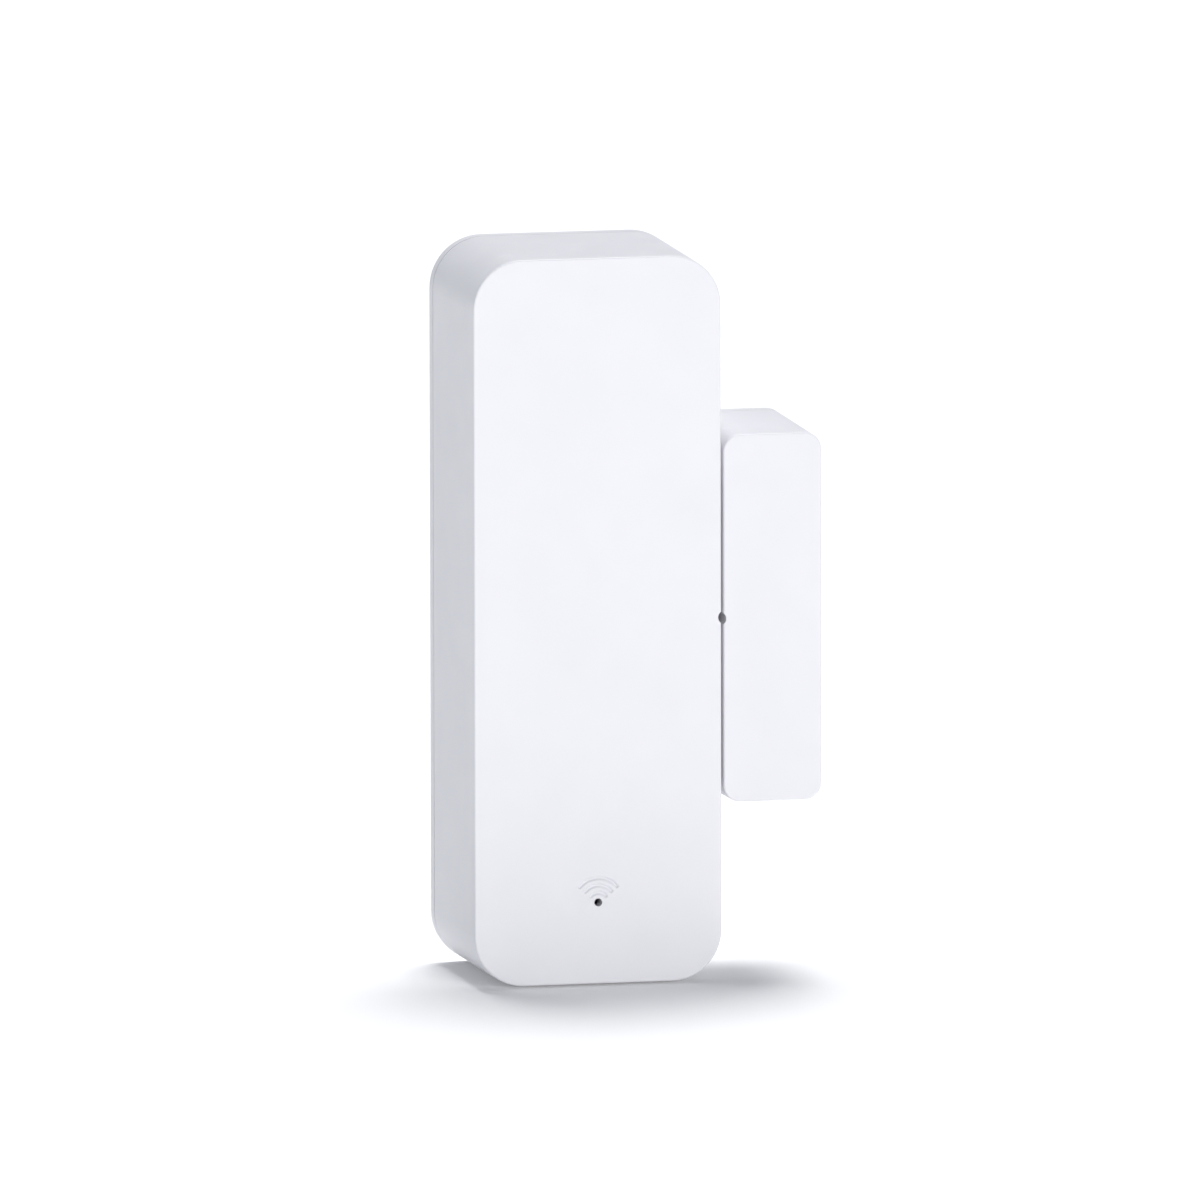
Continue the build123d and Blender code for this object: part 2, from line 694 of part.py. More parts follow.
# ---------------------------------------------------------------- write the nodes
def main():
    os.makedirs("parts", exist_ok=True)
    save("mounting_plate", mounting_plate())
    save("sensor_adhesive_pad", adhesive_pad(pad_width, pad_height))
    save("front_shell", front_shell())
    save("battery_tray", battery_tray())
    for name, x, up in (("battery_left", -cell_x, 1), ("battery_right", cell_x, -1)):
        can, ring, cap = cell(x, up)
        save(name, can)
        save(f"{name}_seal", ring)
        save(f"{name}_cap", cap)
    save("bridge_contact", bridge_contact())
    save("negative_contact", negative_contact())
    save("positive_contact", positive_contact())
    save("left_cell_spring", contact_spring(-cell_x, -1))
    save("right_cell_spring", contact_spring(cell_x, 1))
    save("circuit_board", circuit_board())
    save("radio_module", radio_module())
    save("radio_shield", radio_shield())
    save("reed_glass", reed_glass())
    save("reed_leads", *reed_leads())
    save("reed_contact_blade", reed_blade(1, 1))
    save("status_led", *status_led())
    save("reset_switch_base", reset_switch_base())
    save("reset_switch_metal", *reset_switch_metal())
    save("reset_button", reset_button())
    save("capacitor_foot", capacitor_foot())
    save("capacitor_can", capacitor_can())
    block, winding = power_inductor()
    save("inductor_block", block)
    save("inductor_winding", winding)
    save("regulator_chips", *regulator_chips())
    save("chip_components", *chip_components())
    save("board_screws", *[screw(x, board_screw_z, board_back) for x in (-screw_x, screw_x)])
    save("tray_screws", *[screw(x, tray_screw_z, tray_inside) for x in (-screw_x, screw_x)])
    beside = Pos(0, 0, -magnet_drop)
    save("magnet_shell", beside * magnet_shell())
    save("magnet_back_plate", beside * magnet_plate())
    save("bar_magnet", beside * bar_magnet())
    save("magnet_adhesive_pad", beside * adhesive_pad(magnet_pad_width, magnet_pad_height, magnet_x))


if __name__ == "__main__":
    main()
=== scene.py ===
# %% [markdown]
# # A door contact sensor
#
# The object is a small white radio sensor for a door or window frame, with a magnet unit beside it on the
# leaf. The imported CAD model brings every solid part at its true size, in metres: the origin is the centre
# of the sensor's adhesive face, +Z runs up the sensor, +X points at the magnet unit and the front faces -Y.
# This lesson gives each part a finish, adds the printed and soldered details that are too thin for CAD, and
# lights it like a product shot.

from math import cos, pi, radians, sin

import bmesh
import bpy
from mathutils import Matrix, Vector


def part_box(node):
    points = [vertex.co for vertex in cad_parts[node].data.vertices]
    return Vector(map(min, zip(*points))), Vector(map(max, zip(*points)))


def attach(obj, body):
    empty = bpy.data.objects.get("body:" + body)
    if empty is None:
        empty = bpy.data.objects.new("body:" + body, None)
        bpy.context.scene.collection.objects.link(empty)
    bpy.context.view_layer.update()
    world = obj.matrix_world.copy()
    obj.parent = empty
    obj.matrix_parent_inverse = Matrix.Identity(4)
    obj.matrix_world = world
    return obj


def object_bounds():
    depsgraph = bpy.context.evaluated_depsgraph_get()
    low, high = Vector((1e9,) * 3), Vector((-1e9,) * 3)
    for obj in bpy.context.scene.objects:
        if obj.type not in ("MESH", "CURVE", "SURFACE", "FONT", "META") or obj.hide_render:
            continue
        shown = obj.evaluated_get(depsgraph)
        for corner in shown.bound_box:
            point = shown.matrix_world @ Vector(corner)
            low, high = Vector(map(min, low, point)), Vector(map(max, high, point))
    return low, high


MM = 0.001
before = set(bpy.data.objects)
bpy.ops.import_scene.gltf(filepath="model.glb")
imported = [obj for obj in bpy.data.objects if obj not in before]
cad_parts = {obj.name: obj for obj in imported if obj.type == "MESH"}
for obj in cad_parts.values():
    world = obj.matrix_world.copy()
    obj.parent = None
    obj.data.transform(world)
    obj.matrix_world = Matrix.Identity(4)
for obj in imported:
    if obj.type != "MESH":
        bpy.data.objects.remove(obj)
cad_low, cad_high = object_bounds()
print(len(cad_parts), "parts,", [round(s / MM, 1) for s in cad_high - cad_low], "mm across")

# %% [markdown]
# ## The camera
#
# Small products are shown from far away with a long lens, so that parallel edges stay nearly parallel. The
# camera stands a little to the left of the sensor and a little above it. Its three directions are worked
# out from a turn, a tilt and a very small roll, and become the columns of its matrix.

# %% Place the camera
SENSOR_MM = 36.0
CAMERA_TURN, CAMERA_TILT, CAMERA_ROLL = radians(12.51), radians(7.93), radians(-0.12)
CAMERA_DISTANCE = 2818.2 * MM
CAMERA_LENS = 852.9
CAMERA_AIM = Vector((4.515, -0.8, -0.626)) * MM

forward = Vector(
    (sin(CAMERA_TURN) * cos(CAMERA_TILT), cos(CAMERA_TURN) * cos(CAMERA_TILT), -sin(CAMERA_TILT))
)
level_right = Vector((cos(CAMERA_TURN), -sin(CAMERA_TURN), 0))
level_up = level_right.cross(forward)
right = level_right * cos(CAMERA_ROLL) + level_up * sin(CAMERA_ROLL)
up = level_up * cos(CAMERA_ROLL) - level_right * sin(CAMERA_ROLL)

camera = bpy.data.objects.new("camera", bpy.data.cameras.new("camera"))
bpy.context.scene.collection.objects.link(camera)
camera.data.sensor_width = SENSOR_MM
camera.data.lens = CAMERA_LENS
camera.data.clip_end = 20.0
camera.matrix_world = Matrix.Translation(CAMERA_AIM - forward * CAMERA_DISTANCE) @ Matrix(
    (right, up, -forward)
).transposed().to_4x4()
bpy.context.scene.camera = camera
print("camera", [round(v, 3) for v in camera.matrix_world.translation], "m, lens", CAMERA_LENS, "mm")

# %% [markdown]
# ## Floor and light
#
# The sensor stands on a plain white sweep. The main light is a wide soft one overhead and a little behind,
# which lays a soft shadow at the sensor's foot. A low soft light at the front right lifts the front face,
# and a weak one fills the left side. They are sun lamps with a wide angle: they light the floor evenly all
# the way back, as very large softboxes would. The floor is diffuse with a trace of its own light, so it
# reads as pure white.

# %% A floor and a pale surround
STAGE_SIZE = 9.0
PAPER_WHITE, PAPER_GLOW = 0.97, 0.08
SURROUND_COLOUR, SURROUND_STRENGTH = (0.88, 0.96, 1.12, 1), 0.16

floor_mesh = bmesh.new()
bmesh.ops.create_grid(floor_mesh, x_segments=1, y_segments=1, size=STAGE_SIZE)
bmesh.ops.translate(floor_mesh, vec=(0, 0, cad_low.z), verts=floor_mesh.verts)
floor = bpy.data.objects.new("floor", bpy.data.meshes.new("floor"))
floor_mesh.to_mesh(floor.data)
floor_mesh.free()
bpy.context.scene.collection.objects.link(floor)

paper = bpy.data.materials.new("studio_paper")
paper.use_nodes = True
paper_shader = paper.node_tree.nodes["Principled BSDF"]
paper_shader.inputs["Base Color"].default_value = (PAPER_WHITE, PAPER_WHITE, PAPER_WHITE, 1)
paper_shader.inputs["Roughness"].default_value = 0.95
paper_shader.inputs["Specular IOR Level"].default_value = 0.0
paper_shader.inputs["Emission Color"].default_value = (1, 1, 1, 1)
paper_shader.inputs["Emission Strength"].default_value = PAPER_GLOW
floor.data.materials.append(paper)

world = bpy.data.worlds.new("studio")
bpy.context.scene.world = world
world.use_nodes = True
surround = world.node_tree.nodes["Background"]
surround.inputs["Color"].default_value = SURROUND_COLOUR
surround.inputs["Strength"].default_value = SURROUND_STRENGTH
bpy.context.scene.view_settings.view_transform = "Standard"
print("floor at", round(cad_low.z / MM, 2), "mm")

# %% Hang the soft lights
def soft_light(name, direction, spread, brightness, colour=(1, 1, 1)):
    """A very large soft light in a direction; brightness is what a white surface that faces it gives back."""
    lamp = bpy.data.objects.new(name, bpy.data.lights.new(name, "SUN"))
    lamp.data.energy = brightness * pi
    lamp.data.color = colour
    lamp.data.angle = radians(spread)
    lamp.rotation_euler = Vector(direction).to_track_quat("Z", "Y").to_euler()
    bpy.context.scene.collection.objects.link(lamp)
    return lamp


soft_light("overhead_softbox", (0.10, 0.36, 1.0), 32.0, 0.87, (0.99, 0.99, 1.0))
soft_light("front_softbox", (0.34, -0.93, 0.13), 26.0, 0.63)
soft_light("left_fill", (-1.0, -0.1, 0.06), 30.0, 0.16, (0.9, 0.97, 1.0))

# %% [markdown]
# ## A start for every finish
#
# Each finish is one Principled shader with patterns that follow the piece's own Object coordinates. Those
# are in metres here, so a pattern of half a millimetre needs a scale of two thousand. Three small helpers
# are enough: one starts a material, one makes a noise of a given size, and one turns a pattern into relief.

# %% Finish helpers
PATTERN_DARK, PATTERN_LIGHT = 0.3, 0.7  # most of a noise lies between these


def start_finish(name, colour, roughness, metallic=0.0):
    """A new material; its shader gets the even values."""
    finish = bpy.data.materials.new(name)
    finish.use_nodes = True
    shader = finish.node_tree.nodes["Principled BSDF"]
    shader.inputs["Base Color"].default_value = (*colour, 1)
    shader.inputs["Roughness"].default_value = roughness
    shader.inputs["Metallic"].default_value = metallic
    return finish, shader


def own_coordinates(finish, stretch=(1, 1, 1)):
    """The piece's Object coordinates, stretched along each axis."""
    nodes, links = finish.node_tree.nodes, finish.node_tree.links
    coordinates = nodes.new("ShaderNodeTexCoord")
    mapping = nodes.new("ShaderNodeMapping")
    mapping.inputs["Scale"].default_value = stretch
    links.new(coordinates.outputs["Object"], mapping.inputs["Vector"])
    return mapping.outputs["Vector"]


def noise(finish, size_mm, detail=2.0, stretch=(1, 1, 1)):
    """A soft random pattern whose grains are about size_mm across."""
    pattern = finish.node_tree.nodes.new("ShaderNodeTexNoise")
    pattern.inputs["Scale"].default_value = 1 / (size_mm * MM)
    pattern.inputs["Detail"].default_value = detail
    finish.node_tree.links.new(own_coordinates(finish, stretch), pattern.inputs["Vector"])
    return pattern.outputs["Fac"]


def between(finish, pattern, low, high, socket):
    """Drives a socket from low to high as a pattern goes from its darkest to its lightest."""
    spread = finish.node_tree.nodes.new("ShaderNodeMapRange")
    spread.inputs["From Min"].default_value = PATTERN_DARK
    spread.inputs["From Max"].default_value = PATTERN_LIGHT
    spread.inputs["To Min"].default_value = low
    spread.inputs["To Max"].default_value = high
    finish.node_tree.links.new(pattern, spread.inputs["Value"])
    finish.node_tree.links.new(spread.outputs["Result"], socket)


def tint(finish, pattern, dark, light, socket, low=PATTERN_DARK, high=PATTERN_LIGHT):
    """Drives a colour socket from dark to light with a pattern."""
    ramp = finish.node_tree.nodes.new("ShaderNodeValToRGB")
    ramp.color_ramp.elements[0].position = low
    ramp.color_ramp.elements[1].position = high
    ramp.color_ramp.elements[0].color = (*dark, 1)
    ramp.color_ramp.elements[1].color = (*light, 1)
    finish.node_tree.links.new(pattern, ramp.inputs["Fac"])
    finish.node_tree.links.new(ramp.outputs["Color"], socket)


def relief(finish, shader, pattern, height_mm, strength=1.0):
    """Raises the surface where a pattern is light."""
    bump = finish.node_tree.nodes.new("ShaderNodeBump")
    bump.inputs["Distance"].default_value = height_mm * MM
    bump.inputs["Strength"].default_value = strength
    finish.node_tree.links.new(pattern, bump.inputs["Height"])
    finish.node_tree.links.new(bump.outputs["Normal"], shader.inputs["Normal"])


def wear(finish, *part_names):
    """Puts a finish on CAD parts."""
    for name in part_names:
        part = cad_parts[name]
        part.data.materials.clear()
        part.data.materials.append(finish)
    print(finish.name, "on", ", ".join(part_names))


# %% [markdown]
# ## White housing plastic
#
# The housings are injection-moulded ABS with a fine matt texture, etched in the mould. It is just coarse
# enough to keep fingerprints away, so the light falls off softly and the rounded front edge carries a thin
# bright line. A broad faint mottle stands for the flow of the melt.

# %% Housing finish
def moulded_plastic(name, shade, light, roughness, grain_mm, grain_height_mm):
    """A moulded surface: etched grain, a faint mottle and slightly uneven gloss."""
    finish, shader = start_finish(name, light, roughness)
    tint(finish, noise(finish, 9.0, 3.0), shade, light, shader.inputs["Base Color"])
    between(finish, noise(finish, 3.0), roughness - 0.04, roughness + 0.05, shader.inputs["Roughness"])
    relief(finish, shader, noise(finish, grain_mm, 3.0), grain_height_mm, 0.6)
    return finish


housing_white = moulded_plastic(
    "housing_white", (0.768, 0.763, 0.79), (0.782, 0.777, 0.804), 0.48, 0.16, 0.004
)
wear(housing_white, "front_shell", "mounting_plate", "magnet_shell", "magnet_back_plate")
tray_grey = moulded_plastic("tray_plastic", (0.60, 0.61, 0.63), (0.64, 0.65, 0.67), 0.4, 0.3, 0.006)
wear(tray_grey, "battery_tray")
switch_black = moulded_plastic(
    "switch_plastic", (0.012, 0.012, 0.013), (0.02, 0.02, 0.021), 0.42, 0.2, 0.004
)
wear(switch_black, "reset_switch_base", "capacitor_foot")
button_black = moulded_plastic(
    "button_plastic", (0.03, 0.03, 0.032), (0.045, 0.045, 0.048), 0.35, 0.25, 0.003
)
wear(button_black, "reset_button")
seal_white = moulded_plastic("seal_plastic", (0.74, 0.73, 0.7), (0.8, 0.79, 0.76), 0.38, 0.2, 0.002)
wear(seal_white, "battery_left_seal", "battery_right_seal")

# %% [markdown]
# ## Foam tape
#
# Both units are held up by double-sided foam pads. Closed-cell foam shows tiny round cells where it is cut,
# so a Voronoi pattern gives it pits.

# %% Foam finish
foam, foam_shader = start_finish("foam_tape", (0.72, 0.73, 0.74), 0.85)
cells = foam.node_tree.nodes.new("ShaderNodeTexVoronoi")
cells.inputs["Scale"].default_value = 1 / (0.28 * MM)
foam.node_tree.links.new(own_coordinates(foam), cells.inputs["Vector"])
# The colour darkens with the same pattern that sinks the pits, so the pits carry painted shade.
tint(
    foam, cells.outputs["Distance"], (0.76, 0.77, 0.78), (0.64, 0.65, 0.67),
    foam_shader.inputs["Base Color"], 0.1, 0.9,
)
relief(foam, foam_shader, cells.outputs["Distance"], -0.05)
wear(foam, "sensor_adhesive_pad", "magnet_adhesive_pad")

# %% [markdown]
# ## Metals
#
# The metals differ in how they are made. Rolled strip and drawn cans are brushed along one direction, so
# their noise is stretched. Plated wire and screws have a fine even pitting, and the bar magnet a bright
# nickel coat.

# %% Metal finishes
def worked_metal(name, dark, light, roughness, grain_mm, stretch, height_mm=0.002):
    """A metal with a grain; stretch squeezes the pattern along some axes and draws it out along others."""
    finish, shader = start_finish(name, light, roughness, 1.0)
    tint(finish, noise(finish, 2.5, 3.0), dark, light, shader.inputs["Base Color"])
    grain = noise(finish, grain_mm, 4.0, stretch)
    between(finish, grain, roughness - 0.07, roughness + 0.08, shader.inputs["Roughness"])
    relief(finish, shader, grain, height_mm, 0.5)
    return finish


contact_nickel = worked_metal(
    "contact_nickel", (0.66, 0.64, 0.58), (0.76, 0.74, 0.69), 0.3, 0.12, (0.08, 1, 1)
)
wear(contact_nickel, "bridge_contact", "negative_contact", "positive_contact")
spring_steel = worked_metal("spring_steel", (0.6, 0.6, 0.59), (0.72, 0.72, 0.71), 0.26, 0.1, (1, 1, 1))
wear(spring_steel, "left_cell_spring", "right_cell_spring")
screw_zinc = worked_metal("screw_zinc", (0.5, 0.51, 0.54), (0.64, 0.65, 0.68), 0.33, 0.08, (1, 1, 1), 0.003)
wear(screw_zinc, "board_screws", "tray_screws")
cover_tin = worked_metal("cover_tin", (0.62, 0.62, 0.62), (0.74, 0.74, 0.74), 0.32, 0.1, (0.06, 1, 1))
wear(cover_tin, "radio_shield", "reset_switch_metal")
lead_tin = worked_metal("lead_tin", (0.62, 0.61, 0.58), (0.75, 0.74, 0.71), 0.3, 0.08, (1, 1, 0.1))
wear(lead_tin, "reed_leads", "reed_contact_blade")
can_aluminium = worked_metal("can_aluminium", (0.7, 0.71, 0.72), (0.8, 0.81, 0.82), 0.3, 0.06, (1, 0.05, 1))
wear(can_aluminium, "capacitor_can")
cap_steel = worked_metal("cap_steel", (0.64, 0.64, 0.63), (0.76, 0.76, 0.75), 0.25, 0.09, (1, 1, 1))
wear(cap_steel, "battery_left_cap", "battery_right_cap")
magnet_nickel = worked_metal(
    "magnet_nickel", (0.58, 0.57, 0.54), (0.7, 0.69, 0.66), 0.16, 0.5, (1, 1, 1), 0.001
)
wear(magnet_nickel, "bar_magnet")
coil_copper = worked_metal("coil_copper", (0.55, 0.23, 0.1), (0.72, 0.34, 0.17), 0.28, 0.1, (1, 1, 1))
wear(coil_copper, "inductor_winding")

# %% [markdown]
# ## Cell jackets
#
# A cell is a steel can in a printed film. The film ends in a bare steel rim at the flat end, and a metallic
# band marks the end with the cap. Both bands are cut out of the piece's own height, measured from the
# middle of the cell.

# %% Jacket finish
BARE_STEEL, JACKET_INK = (0.62, 0.62, 0.6, 1), (0.022, 0.028, 0.04, 1)
JACKET_LINE, JACKET_BAND = (0.75, 0.74, 0.7, 1), (0.045, 0.2, 0.36, 1)


def jacket(name, part_name, up):
    """A jacket for one cell; up is 1 if its cap is at the top."""
    low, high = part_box(part_name)
    length = high.z - low.z
    finish, shader = start_finish(name, (0.05, 0.06, 0.08), 0.24, 0.0)
    nodes, links = finish.node_tree.nodes, finish.node_tree.links
    height = nodes.new("ShaderNodeSeparateXYZ")
    links.new(own_coordinates(finish), height.inputs["Vector"])
    along = nodes.new("ShaderNodeMapRange")
    along.inputs["From Min"].default_value = low.z if up > 0 else high.z
    along.inputs["From Max"].default_value = high.z if up > 0 else low.z
    links.new(height.outputs["Z"], along.inputs["Value"])
    bands = nodes.new("ShaderNodeValToRGB")
    bands.color_ramp.interpolation = "CONSTANT"
    rim, line, cap_band = 0.7 * MM / length, 0.70, 0.715
    elements = bands.color_ramp.elements
    elements[0].position, elements[0].color = 0.0, BARE_STEEL
    elements[1].position, elements[1].color = rim, JACKET_INK
    for position, colour in ((line, JACKET_LINE), (cap_band, JACKET_BAND), (1 - rim, BARE_STEEL)):
        elements.new(position).color = colour
    links.new(along.outputs["Result"], bands.inputs["Fac"])
    links.new(bands.outputs["Color"], shader.inputs["Base Color"])
    bare = nodes.new("ShaderNodeValToRGB")
    bare.color_ramp.interpolation = "CONSTANT"
    bare.color_ramp.elements[0].color = (1, 1, 1, 1)
    bare.color_ramp.elements[1].position, bare.color_ramp.elements[1].color = rim, (0.25, 0.25, 0.25, 1)
    bare.color_ramp.elements.new(1 - rim).color = (1, 1, 1, 1)
    links.new(along.outputs["Result"], bare.inputs["Fac"])
    links.new(bare.outputs["Color"], shader.inputs["Metallic"])
    between(finish, noise(finish, 1.2), 0.2, 0.3, shader.inputs["Roughness"])
    relief(finish, shader, noise(finish, 1.6, 2.0, (1, 1, 0.25)), 0.012, 0.5)
    shader.inputs["Coat Weight"].default_value = 0.5
    shader.inputs["Coat Roughness"].default_value = 0.12
    return finish


wear(jacket("left_jacket", "battery_left", 1), "battery_left")
wear(jacket("right_jacket", "battery_right", -1), "battery_right")

# %% [markdown]
# ## The circuit board
#
# The laminate is covered by green solder mask, and copper tracks show through it as a slightly lighter,
# raised network. A brick pattern gives tracks that run straight and turn square, which reads as routing
# from a hand's breadth away. The radio module has its own, nearly black, board.

# %% Board finishes
def solder_mask(name, ground, track, cell_mm):
    """Solder mask over laminate, with tracks that show through as a raised network."""
    finish, shader = start_finish(name, ground, 0.3)
    nodes, links = finish.node_tree.nodes, finish.node_tree.links
    turned = nodes.new("ShaderNodeMapping")
    turned.inputs["Rotation"].default_value = (radians(90), 0, 0)
    links.new(own_coordinates(finish), turned.inputs["Vector"])
    tracks = nodes.new("ShaderNodeTexBrick")
    tracks.inputs["Color1"].default_value = (*ground, 1)
    tracks.inputs["Color2"].default_value = tuple(1.15 * c for c in ground) + (1,)
    tracks.inputs["Mortar"].default_value = (*track, 1)
    tracks.inputs["Scale"].default_value = 1 / (cell_mm * MM)
    tracks.inputs["Mortar Size"].default_value = 0.07
    tracks.inputs["Mortar Smooth"].default_value = 0.2
    tracks.inputs["Brick Width"].default_value = 1.3
    tracks.inputs["Row Height"].default_value = 0.42
    links.new(turned.outputs["Vector"], tracks.inputs["Vector"])
    links.new(tracks.outputs["Color"], shader.inputs["Base Color"])
    between(finish, noise(finish, 0.8), 0.26, 0.36, shader.inputs["Roughness"])
    relief(finish, shader, tracks.outputs["Fac"], 0.03, 0.8)
    shader.inputs["Coat Weight"].default_value = 0.35
    return finish


board_green = solder_mask("board_mask", (0.012, 0.11, 0.045), (0.03, 0.2, 0.085), 1.9)
wear(board_green, "circuit_board")
module_black = solder_mask("module_mask", (0.012, 0.014, 0.018), (0.03, 0.034, 0.04), 1.1)
wear(module_black, "radio_module")

# %% [markdown]
# ## Chips, ferrite, glass and lamp
#
# The small parts keep to a few materials: dull moulded epoxy for the chips, sintered ferrite for the coil's
# block, fired ceramic for the chip parts, soft green glass for the reed switch and clear resin for the
# status lamp.

# %% Small part finishes
def fired(name, dark, light, roughness, grain_mm, height_mm):
    """A sintered or fired body: speckled, dull and finely pitted."""
    finish, shader = start_finish(name, light, roughness)
    speckle = noise(finish, grain_mm, 5.0)
    tint(finish, speckle, dark, light, shader.inputs["Base Color"], 0.35, 0.65)
    between(finish, speckle, roughness - 0.08, roughness + 0.08, shader.inputs["Roughness"])
    relief(finish, shader, speckle, height_mm, 0.7)
    return finish


wear(fired("epoxy_black", (0.01, 0.01, 0.011), (0.026, 0.026, 0.028), 0.55, 0.1, 0.004), "regulator_chips")
wear(fired("ferrite_grey", (0.035, 0.035, 0.037), (0.075, 0.075, 0.078), 0.6, 0.12, 0.006), "inductor_block")
wear(fired("chip_ceramic", (0.3, 0.19, 0.1), (0.42, 0.28, 0.16), 0.45, 0.08, 0.002), "chip_components")

lamp_resin, resin_shader = start_finish("lamp_resin", (0.82, 0.8, 0.68), 0.22)
tint(
    lamp_resin, noise(lamp_resin, 0.5), (0.78, 0.74, 0.55), (0.86, 0.85, 0.78),
    resin_shader.inputs["Base Color"],
)
resin_shader.inputs["Subsurface Weight"].default_value = 0.2
resin_shader.inputs["Subsurface Radius"].default_value = (0.0006, 0.0005, 0.0003)
wear(lamp_resin, "status_led")

reed_tube, tube_shader = start_finish("reed_tube", (0.72, 0.86, 0.78), 0.06)
between(reed_tube, noise(reed_tube, 1.5), 0.03, 0.1, tube_shader.inputs["Roughness"])
relief(reed_tube, tube_shader, noise(reed_tube, 2.0, 1.0), 0.01, 0.4)
tube_shader.inputs["Transmission Weight"].default_value = 0.9
tube_shader.inputs["IOR"].default_value = 1.5
wear(reed_tube, "reed_glass")

# %% [markdown]
# ## Details too thin for CAD
#
# Some things are only a few hundredths of a millimetre thick: solder pads, the printed outlines round the
# parts on the board, the dark print on the capacitor. They take their places from the solids they belong
# to. A CAD part can hold many separate solids, so the first helper finds the box of each by walking over
# the mesh from corner to corner.

# %% Detail helpers
LIST_ALONG = Vector((1.0, 2.718, 0.577))  # faces are listed in this direction, alike in each run


def solids_of(name):
    """The lowest and highest corner of each separate solid of a CAD part."""
    mesh = bmesh.new()
    mesh.from_mesh(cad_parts[name].data)
    bmesh.ops.remove_doubles(mesh, verts=mesh.verts, dist=0.001 * MM)
    left, boxes = dict.fromkeys(mesh.verts), []
    while left:
        edge_of_walk = [left.popitem()[0]]
        places = []
        while edge_of_walk:
            corner = edge_of_walk.pop()
            places.append(corner.co.copy())
            for edge in corner.link_edges:
                other = edge.other_vert(corner)
                if other in left:
                    del left[other]
                    edge_of_walk.append(other)
        boxes.append([Vector(pick(p[i] for p in places) for i in range(3)) for pick in (min, max)])
    mesh.free()
    return boxes


def add_block(mesh, low, high):
    """A plain block between two corners."""
    size = Matrix.Diagonal((*(high - low), 1))
    bmesh.ops.create_cube(mesh, size=1, matrix=Matrix.Translation((low + high) / 2) @ size)


def add_outline(mesh, centre, half_width, half_height, line, rise, sides):
    """A raised line round a place on a face across Y; four sides make a frame and many a ring."""
    loops = []
    for inset in (0, line):
        stretch = Matrix.Diagonal((half_width - inset, half_height - inset, 1, 1))
        turned = Matrix.Rotation(radians(-90), 4, "X") @ stretch
        made = bmesh.ops.create_circle(
            mesh, segments=sides, radius=1 / cos(pi / sides),
            matrix=Matrix.Translation(centre) @ turned @ Matrix.Rotation(pi / sides, 4, "Z"),
        )
        loops += dict.fromkeys(edge for corner in made["verts"] for edge in corner.link_edges)
    ring = bmesh.ops.bridge_loops(mesh, edges=loops)["faces"]
    grown = bmesh.ops.extrude_face_region(mesh, geom=ring, use_keep_orig=True)["geom"]
    bmesh.ops.translate(mesh, vec=(0, rise, 0), verts=[v for v in grown if isinstance(v, bmesh.types.BMVert)])
    mesh.faces.sort(key=lambda face: face.calc_center_median().dot(LIST_ALONG))


def finish_piece(mesh, name, finish, body, edge=0.0):
    """Turns a mesh into a piece that rides on a body; edge rounds its edges."""
    if edge:
        bmesh.ops.bevel(
            mesh, geom=mesh.edges, offset=edge, affect="EDGES", segments=2, profile=0.5, material=-1
        )
    bmesh.ops.recalc_face_normals(mesh, faces=mesh.faces)
    piece = bpy.data.objects.new(name, bpy.data.meshes.new(name))
    mesh.to_mesh(piece.data)
    mesh.free()
    piece.data.materials.append(finish)
    bpy.context.scene.collection.objects.link(piece)
    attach(piece, body)
    print(name, len(piece.data.polygons), "faces, rides", body)
    return piece


def grown_box(low, high, x, y, z):
    """A box with each side moved out by that much."""
    reach = Vector((x, y, z))
    return low - reach, high + reach


# %% [markdown]
# ## Pads, leads and end caps
#
# Every foot of a chip and every leg of the switch stands on a tinned pad, a little larger than itself. The
# chip parts have metal ends, fired on as a paste, and the six-leg packages have plated legs, which the CAD
# part holds as small solids of their own. A very thin skin turns them to metal.

# %% Solder pads, chip leads and end caps
board_low, board_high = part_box("circuit_board")
back_of_board = board_high.y
front_of_board = board_low.y
PAD_RISE = 0.03 * MM
SKIN = 0.015 * MM
CHIP_MARGIN, LEG_MARGIN = 0.12 * MM, 0.35 * MM
LEAD_HEIGHT = 0.4 * MM  # a separate solid lower than this is a lead, not a package
CAP_SHARE = 0.22
FOOT_TRIM = 0.8 * MM

pads, leads, caps = bmesh.new(), bmesh.new(), bmesh.new()


def add_pad(low, high, margin, behind=True):
    """A pad on the board under a box."""
    start = back_of_board if behind else front_of_board - PAD_RISE
    low = Vector((low.x - margin, start, low.z - margin))
    add_block(pads, low, Vector((high.x + margin, start + PAD_RISE, high.z + margin)))


for low, high in solids_of("regulator_chips"):
    if high.y - low.y < LEAD_HEIGHT:
        add_block(leads, *grown_box(low, high, SKIN, SKIN, SKIN))
        add_pad(low, high, CHIP_MARGIN)
for low, high in solids_of("chip_components"):
    behind = low.y > back_of_board - 0.1 * MM
    size = high - low
    along = 0 if size.x > size.z else 2
    end = CAP_SHARE * size[along]
    for near in (True, False):
        cap_low, cap_high = low.copy(), high.copy()
        if near:
            cap_high[along] = low[along] + end
        else:
            cap_low[along] = high[along] - end
        add_block(caps, *grown_box(cap_low, cap_high, SKIN, SKIN, SKIN))
        add_pad(cap_low, cap_high, CHIP_MARGIN, behind)
for low, high in solids_of("reset_switch_metal"):
    if low.y < back_of_board + 0.2 * MM:
        add_pad(low, high, LEG_MARGIN)
coil_low, coil_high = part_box("inductor_block")
for x in (coil_low.x, coil_high.x):
    foot = Vector((x, 0, coil_low.z + FOOT_TRIM)), Vector((x, 0, coil_high.z - FOOT_TRIM))
    add_pad(*foot, LEG_MARGIN)
finish_piece(pads, "solder_pads", lead_tin, "sensor_body")
finish_piece(leads, "chip_leads", lead_tin, "sensor_body")
finish_piece(caps, "chip_end_caps", lead_tin, "sensor_body")

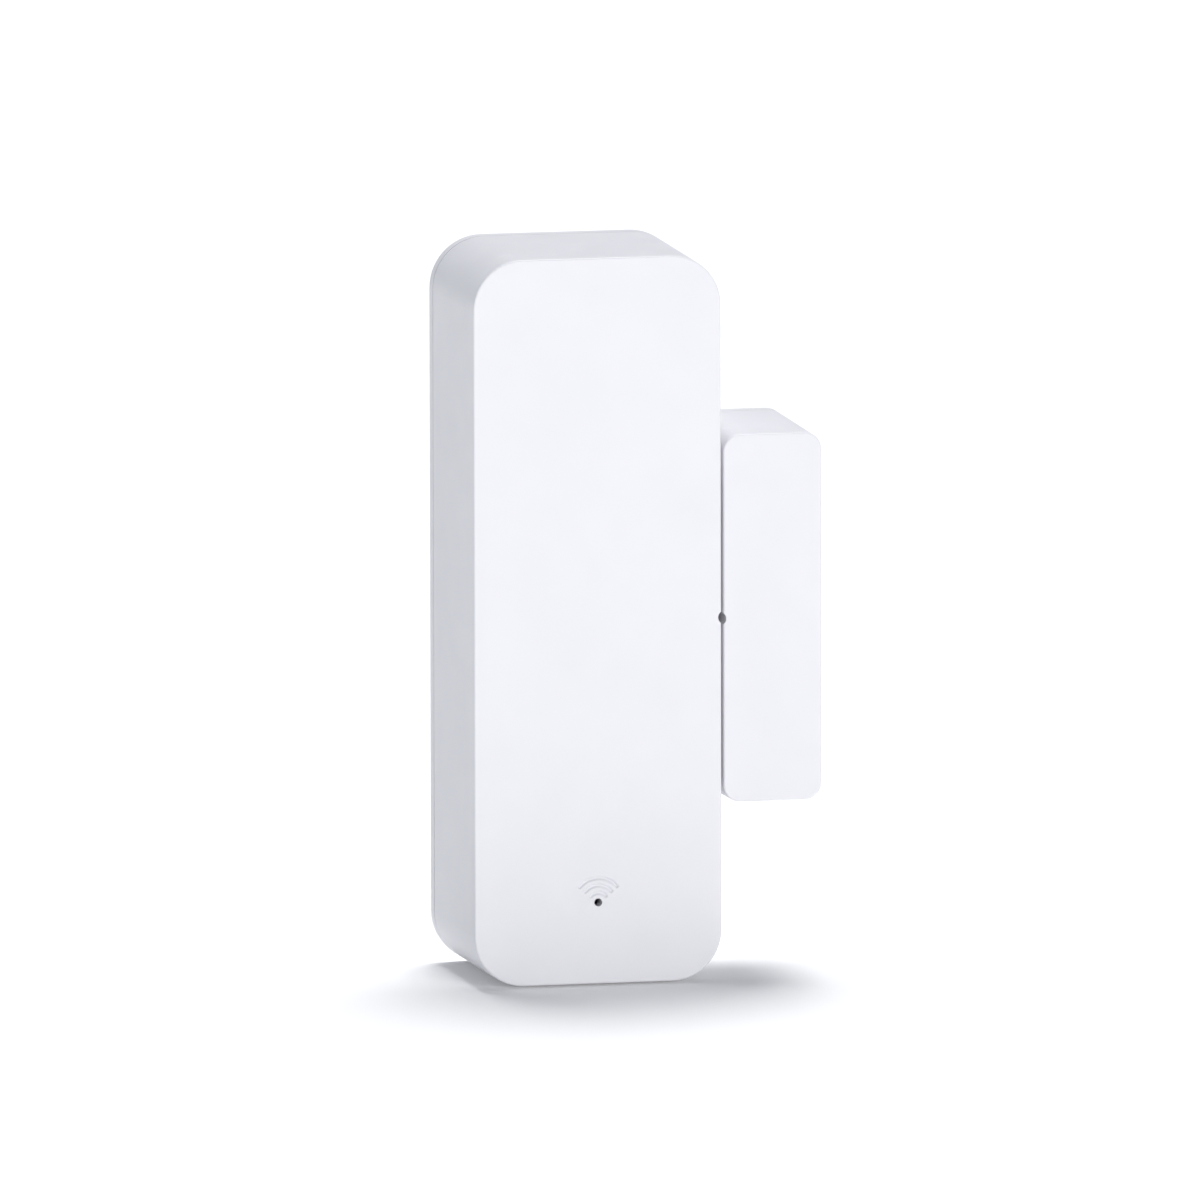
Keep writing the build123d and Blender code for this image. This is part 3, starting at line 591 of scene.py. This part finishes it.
# %% [markdown]
# ## Printed marks
#
# White lines screened on the board show where each part goes. The capacitor's can carries a dark print on
# the side of its negative lead, cut here from a disc by a plane.

# %% Board print and capacitor print
board_ink = fired("board_ink", (0.66, 0.66, 0.62), (0.82, 0.82, 0.78), 0.55, 0.15, 0.002)
capacitor_ink = fired("capacitor_ink", (0.012, 0.012, 0.014), (0.03, 0.03, 0.033), 0.5, 0.1, 0.002)

PRINT_LINE, PRINT_RISE = 0.15 * MM, 0.02 * MM
ink = bmesh.new()
for name, margin in (("reset_switch_base", 0.3), ("capacitor_foot", 0.18), ("inductor_block", 0.55)):
    low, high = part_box(name)
    centre = Vector(((low.x + high.x) / 2, back_of_board, (low.z + high.z) / 2))
    reach = margin * MM
    halves = (high.x - low.x) / 2 + reach, (high.z - low.z) / 2 + reach
    add_outline(ink, centre, *halves, PRINT_LINE, PRINT_RISE, 4)
finish_piece(ink, "board_print", board_ink, "sensor_body")

MARK_RADIUS, MARK_DEPTH, MARK_SUNK = 2.62 * MM, 0.03 * MM, 0.012 * MM
MARK_EDGE = 1.35 * MM  # from the can's axis to the straight side of the print
can_low, can_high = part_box("capacitor_can")
can_middle = Vector(((can_low.x + can_high.x) / 2, can_high.y - MARK_SUNK, (can_low.z + can_high.z) / 2))
mark = bmesh.new()
bmesh.ops.create_cone(
    mark, cap_ends=True, segments=64, radius1=MARK_RADIUS, radius2=MARK_RADIUS, depth=MARK_DEPTH,
    matrix=Matrix.Translation(can_middle) @ Matrix.Rotation(radians(90), 4, "X"),
)
cut = bmesh.ops.bisect_plane(
    mark, geom=[*mark.verts, *mark.edges, *mark.faces], plane_co=can_middle + Vector((MARK_EDGE, 0, 0)),
    plane_no=(1, 0, 0), clear_inner=True,
)
bmesh.ops.contextual_create(mark, geom=[e for e in cut["geom_cut"] if isinstance(e, bmesh.types.BMEdge)])
finish_piece(mark, "capacitor_print", capacitor_ink, "sensor_body")

# %% [markdown]
# ## Moulded marks
#
# The tray tells which way the cells go: a plus and a minus are raised on its lip, below the contact each
# belongs to. The mounting plate shows the round marks of the pins that pushed it out of its mould.

# %% Polarity marks and ejector marks
POLARITY_OUT = 4.2
LONG, THIN, RISE = 0.95 * MM, 0.2 * MM, 0.12 * MM  # half sizes of a bar
PLATE_FLOOR = 1.4 * MM
EJECTOR_RADIUS, EJECTOR_LINE, EJECTOR_RISE = 1.5 * MM, 0.12 * MM, 0.04 * MM

screw_low, screw_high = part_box("tray_screws")
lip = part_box("negative_contact")[0].y - 0.1 * MM
mark_z = (screw_low.z + screw_high.z) / 2
polarity = bmesh.new()
for x, upright in ((-POLARITY_OUT, False), (POLARITY_OUT, True)):
    centre = Vector((x * MM, lip, mark_z))
    bar = Vector((LONG, RISE, THIN))
    add_block(polarity, centre - bar, centre + bar)
    if upright:
        post = Vector((THIN, RISE, LONG))
        add_block(polarity, centre - post, centre + post)
finish_piece(polarity, "polarity_marks", tray_grey, "sensor_body", 0.04 * MM)

plate_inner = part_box("mounting_plate")[1].y - PLATE_FLOOR
ejector = bmesh.new()
for x in (-6.5, 6.5):
    for z in (-27.0, -9.0, 9.0, 27.0):
        centre = Vector((x * MM, plate_inner, z * MM))
        add_outline(ejector, centre, EJECTOR_RADIUS, EJECTOR_RADIUS, EJECTOR_LINE, -EJECTOR_RISE, 48)
finish_piece(ejector, "ejector_marks", housing_white, "wall_plate")
